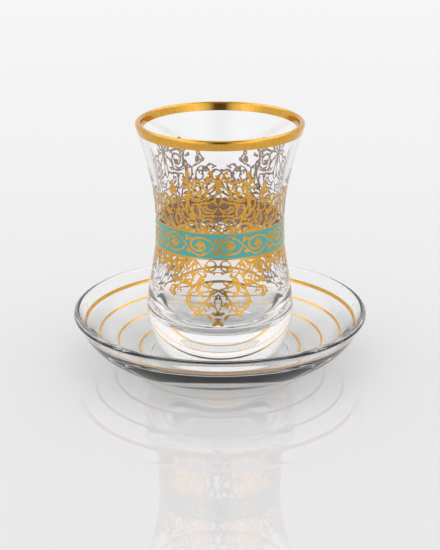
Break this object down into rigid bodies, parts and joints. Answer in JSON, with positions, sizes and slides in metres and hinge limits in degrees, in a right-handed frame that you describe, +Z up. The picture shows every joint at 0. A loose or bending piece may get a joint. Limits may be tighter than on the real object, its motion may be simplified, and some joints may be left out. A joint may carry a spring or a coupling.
{
  "type": "turkish tea glass",
  "caption": "Clear tulip-shaped tea glass with gilded lip, enamelled waist band and gold scrollwork, standing on a clear glass saucer with gold rings.",
  "frame": {"origin": "centre of the saucer's foot ring, on the surface that the saucer stands on", "axes": "+Z up along the common axis of the saucer and the glass; X and Y are any two level directions, with a medallion of the scrollwork facing -Y"},
  "size_m": [0.11, 0.11, 0.0931],
  "materials": {
    "clear_glass": "clear pressed soda-lime glass, fire polished",
    "gold": "thin fired bright gold, glossy",
    "turquoise_enamel": "opaque fired enamel, satin gloss"
  },
  "bodies": {
    "root": {"tea_glass": "clear_glass", "saucer": "clear_glass", "lip_gold": "gold", "waist_gold": "gold", "waist_enamel": "turquoise_enamel", "saucer_ring_1": "gold", "saucer_ring_2": "gold", "saucer_ring_3": "gold", "saucer_ring_4": "gold"}
  },
  "joints": []
}
